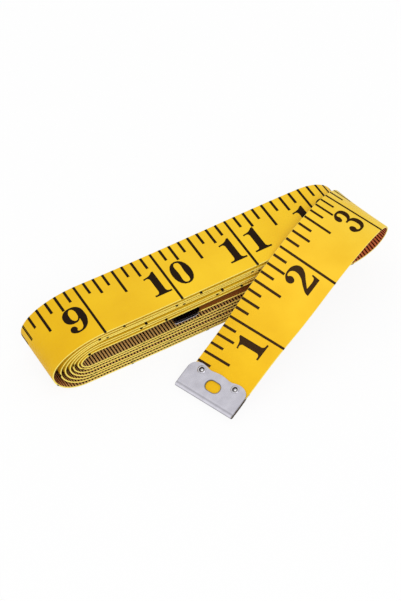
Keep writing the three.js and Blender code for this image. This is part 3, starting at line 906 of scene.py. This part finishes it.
def tin_finish(name, dull, bright, with_painted_light=True, metallic=1.0):
    """Plated sheet: a mottled colour, fine scratches in its gloss, and, where asked, painted light.

    That is painted shade at the nose, in the crease, at the sides and round the slot, with painted highlights
    beside the crease.
    """
    tin, tree, shader = new_material(name, Metallic=metallic)
    place = tree.nodes.new("ShaderNodeUVMap")
    place.uv_map = "flat"
    marks = place_group(tree, handling_marks, place.outputs["UV"], Broad=0.35, Fine=6.0)
    colour = colour_between(tree, marks.outputs["Mottle"], dull, bright)
    if with_painted_light:
        along, across = (flat_distance(tree, place.outputs["UV"], axis) for axis in (0, 1))
        beside = math_node(tree, "SUBTRACT", along, unrolled(SLOT_AT))
        past_straight = math_node(tree, "SUBTRACT", across, SLOT_HALF_LENGTH - SLOT_HALF_WIDTH)
        beyond = math_node(tree, "MAXIMUM", past_straight, 0.0)
        squares = [math_node(tree, "MULTIPLY", reach, reach) for reach in (beside, beyond)]
        from_middle = math_node(tree, "SQRT", math_node(tree, "ADD", *squares))
        from_slot = math_node(tree, "SUBTRACT", from_middle, SLOT_HALF_WIDTH)
        for distance, span, stops in (
            (along, CREASE_SPAN, CREASE_PAINTED_LIGHT_AND_SHADE),
            (across, TIP_HALF_WIDTH, SIDE_PAINTED_SHADE),
            (from_slot, SLOT_RIM, SLOT_PAINTED_SHADE),
        ):
            greys = [(share, (grey, grey, grey)) for share, grey in stops]
            colour = tinted(tree, colour, tint_over(tree, distance, span, greys))
    tree.links.new(colour, shader.inputs["Base Color"])
    tree.links.new(value_between(tree, marks.outputs["Grain"], *TIN_ROUGHNESS), shader.inputs["Roughness"])
    bump(tree, shader, marks.outputs["Grain"], TIN_SCRATCH_STRENGTH, SCRATCH_DEPTH)
    return tin


TIN_ROUGHNESS = (0.18, 0.3)
TIN_SCRATCH_STRENGTH = 0.12
SCRATCH_DEPTH = 0.00003
CREASE_SPAN = 4.0
# Painted shade at the nose and in the crease, with painted highlights between and beside them.
CREASE_PAINTED_LIGHT_AND_SHADE = (
    (0.0, 0.5), (0.06, 0.55), (0.085, 1.2), (0.16, 1.22), (0.2, 1.05), (0.27, 0.8),
    (0.32, 0.75), (0.37, 1.0), (0.43, 1.1), (0.5, 1.05), (0.75, 1.0), (1.0, 1.0),
)
# Painted shade along the plate's sides.
SIDE_PAINTED_SHADE = ((0.0, 1.0), (0.98, 1.0), (0.99, 0.6), (1.0, 0.55))
# Painted shade round the rim of each slot.
SLOT_PAINTED_SHADE = ((0.0, 0.22), (0.3, 0.35), (0.7, 1.0), (1.0, 1.0))
SLOT_RIM = 0.4
tin = tin_finish("tin_plate", (0.50, 0.487, 0.54), (0.60, 0.587, 0.645))
tin_edge = tin_finish("cut_edge_of_tin", (0.6, 0.585, 0.62), (0.7, 0.685, 0.72))
# The inner tip's near-black finish is painted shade for the hollow it lies in, and the pale finish of its lower
# cut edge is a painted highlight.
painted_shade_tin = tin_finish("tin_plate_painted_dark_for_shade", (0.05, 0.035, 0.05), (0.09, 0.07, 0.09))
highlight_edge_tin = tin_finish("tin_edge_painted_highlight", (0.9, 0.84, 0.92), (1.0, 0.97, 1.0), with_painted_light=False, metallic=0.0)
outer_tip_finishes = (tin, tin, tin_edge)
inner_tip_finishes = (painted_shade_tin, painted_shade_tin, painted_shade_tin, highlight_edge_tin)
HIGHLIGHT_EDGE = 3

fold_cuts = np.linspace(-fold_half, fold_half, FOLD_CUTS)
crease_cuts = unrolled(np.linspace(CREASE[0] - CREASE_MARGIN, CREASE[3] + CREASE_MARGIN, CREASE_CUTS))
face_cuts = np.linspace(FACE_CUTS_FROM, unrolled(TIP_LENGTH) - FACE_CUTS_STOP_SHORT, FACE_CUTS)
tip_cuts = np.unique(np.concatenate([fold_cuts, crease_cuts, -crease_cuts, face_cuts, -face_cuts]))
blank, blank_faces = flat_plate(tip_blank(), TIP_SHEET, tip_cuts, curve_steps=3)
tip_points, tip_normals = folded(blank)
for name, axes, body, finishes in (
    ("outer", OUTER_TIP_FRAME, "free_end", outer_tip_finishes),
    ("inner", INNER_TIP_FRAME, "coil", inner_tip_finishes),
):
    turned_normals = tip_normals @ np.array(axes[1:])
    tip_kinds = plate_kinds(blank, blank_faces)
    # The lower half's cut edge takes the pale finish: a painted highlight.
    if name == "inner":
        lower_half = [blank[list(face), 0].max() < 0 for face in blank_faces]
        tip_kinds = [HIGHLIGHT_EDGE if kind == EDGE and low else kind for kind, low in zip(tip_kinds, lower_half)]
    placed = in_frame(tip_points, axes)
    tip = add_piece(f"{name}_tip_plate", finishes, placed, blank_faces, tip_kinds, turned_normals, blank[:, :2])
    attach(tip, body)
    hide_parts(f"{name}_tip")

# The rivets.
# Four hollow rivets of bright plated brass, two through each tip and the strip inside it. Both ends of
# each are rolled outwards into a round flange, and the bore is left open.
RIVET_PROFILE = (
    (0.45, 0.0), (0.45, 0.42), (0.6, 0.62), (0.8, 0.78), (0.92, 0.825), (1.06, 0.81), (1.2, 0.76),
    (1.29, 0.69), (1.3, 0.655), (1.24, 0.63), (1.02, 0.63), (0.95, 0.57), (0.95, 0.0),
)
# The flared mouths at both ends take a near-black finish: painted shade in the bore's mouth.
RIVET_MOUTH = (1, 2)
PLATING, MOUTH_PAINTED_SHADE = 0, 1
PLATING_ROUGHNESS = (0.14, 0.28)
PLATING_SCRATCH_STRENGTH = 0.15
ROUND_STEPS = 40


def rivet_mesh():
    """The rivet turned about its own upright axis, in the tip's millimetres."""
    upper = np.array(RIVET_PROFILE)
    lower = upper[-2:0:-1] * np.array([1.0, -1.0])
    profile = np.concatenate([upper, lower])
    angles = np.linspace(0.0, 2 * math.pi, ROUND_STEPS, endpoint=False)
    points = np.array([(r * math.cos(a), r * math.sin(a), z) for a in angles for r, z in profile])
    size = len(profile)
    faces, kinds = [], []
    for i in range(ROUND_STEPS):
        for k in range(size):
            here, there = i * size, (i + 1) % ROUND_STEPS * size
            after = (k + 1) % size
            faces.append((here + after, there + after, there + k, here + k))
            kinds.append(MOUTH_PAINTED_SHADE if k in RIVET_MOUTH or size - 1 - k in RIVET_MOUTH else PLATING)
    return points, faces, kinds


def plating_finish(name, dull, bright):
    """Plated brass, mottled and finely scratched."""
    plating, tree, shader = new_material(name, Metallic=1.0)
    place = tree.nodes.new("ShaderNodeTexCoord")
    marks = place_group(tree, handling_marks, place.outputs["Object"], Broad=900.0, Fine=5000.0)
    tree.links.new(colour_between(tree, marks.outputs["Mottle"], dull, bright), shader.inputs["Base Color"])
    tree.links.new(value_between(tree, marks.outputs["Grain"], *PLATING_ROUGHNESS), shader.inputs["Roughness"])
    bump(tree, shader, marks.outputs["Grain"], PLATING_SCRATCH_STRENGTH, SCRATCH_DEPTH)
    return plating


# The second finish is near black, painted shade for the flared mouths.
rivet_finishes = (
    plating_finish("bright_plating", (0.44, 0.43, 0.47), (0.60, 0.585, 0.64)),
    plating_finish("rivet_mouth_painted_shade", (0.02, 0.018, 0.015), (0.07, 0.06, 0.05)),
)

rivet_points, rivet_faces, rivet_kinds = rivet_mesh()
for name, axes, body in (("outer", OUTER_TIP_FRAME, "free_end"), ("inner", INNER_TIP_FRAME, "coil")):
    for place, side in (("back", 1), ("front", -1)):
        placed = in_frame(rivet_points + np.array([RIVET_AT, side * RIVET_SIDE, 0.0]), axes)
        rivet = add_piece(f"{name}_{place}_hollow_rivet", rivet_finishes, placed, rivet_faces, rivet_kinds)
        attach(rivet, body)
        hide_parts(f"{name}_rivet_{place}")

# Floor and light.
# A plain white table in a white room, with one large soft lamp high in front. The table shows as white and
# keeps a faint shadow of the tape.
FLOOR_HALF = 3.0
FLOOR_DROP = 0.0003
FLOOR_SHADOW = 0.1
FLOOR_BOUNCE = 0.8
FLOOR_WHITE = 0.95
AMBIENT = 0.85
LAMP_POWER = 4.2
LAMP_SIZE = 0.7
LAMP_PLACE = Vector((-0.25, -0.95, 0.95))


def seen_directly(tree):
    """1 for rays that show the background: straight from the camera, in a reflection or through glass."""
    path = tree.nodes.new("ShaderNodeLightPath")
    seen = math_node(tree, "MAXIMUM", path.outputs["Is Camera Ray"], path.outputs["Is Glossy Ray"])
    return math_node(tree, "MAXIMUM", seen, path.outputs["Is Transmission Ray"])


floor_material, floor_tree, floor_shader = new_material("white_table", Roughness=0.9)
glow = floor_tree.nodes.new("ShaderNodeEmission")
glow.inputs["Color"].default_value = (1.0, 1.0, 1.0, 1.0)
mix = floor_tree.nodes.new("ShaderNodeMixShader")
floor_seen = seen_directly(floor_tree)
floor_tree.links.new(math_node(floor_tree, "MULTIPLY", floor_seen, 1.0 - FLOOR_SHADOW), mix.inputs["Fac"])
floor_whiter = math_node(floor_tree, "MULTIPLY", floor_seen, FLOOR_WHITE - FLOOR_BOUNCE)
floor_grey = math_node(floor_tree, "ADD", floor_whiter, FLOOR_BOUNCE)
floor_tree.links.new(floor_grey, floor_shader.inputs["Base Color"])
floor_tree.links.new(floor_shader.outputs["BSDF"], mix.inputs[1])
floor_tree.links.new(glow.outputs["Emission"], mix.inputs[2])
floor_tree.links.new(mix.outputs["Shader"], floor_tree.nodes["Material Output"].inputs["Surface"])
corner_signs = ((-1, -1), (1, -1), (1, 1), (-1, 1))
floor_corners = [(x * FLOOR_HALF, y * FLOOR_HALF, -FLOOR_DROP) for x, y in corner_signs]
floor = add_piece("floor", [floor_material], floor_corners, [(0, 1, 2, 3)])

world = bpy.data.worlds.new("white_room")
world.use_nodes = True
background = world.node_tree.nodes["Background"]
background.inputs["Color"].default_value = (1.0, 1.0, 1.0, 1.0)
shown = math_node(world.node_tree, "MULTIPLY", seen_directly(world.node_tree), 1.0 - AMBIENT)
world.node_tree.links.new(math_node(world.node_tree, "ADD", shown, AMBIENT), background.inputs["Strength"])
bpy.context.scene.world = world

lamp_data = bpy.data.lights.new("soft_lamp", "AREA")
lamp_data.energy = LAMP_POWER
lamp_data.size = LAMP_SIZE
lamp = bpy.data.objects.new("soft_lamp", lamp_data)
lamp.location = LAMP_PLACE
lamp.rotation_euler = (-LAMP_PLACE).to_track_quat("-Z", "Y").to_euler()
bpy.context.scene.collection.objects.link(lamp)
bpy.context.scene.view_settings.view_transform = "Standard"
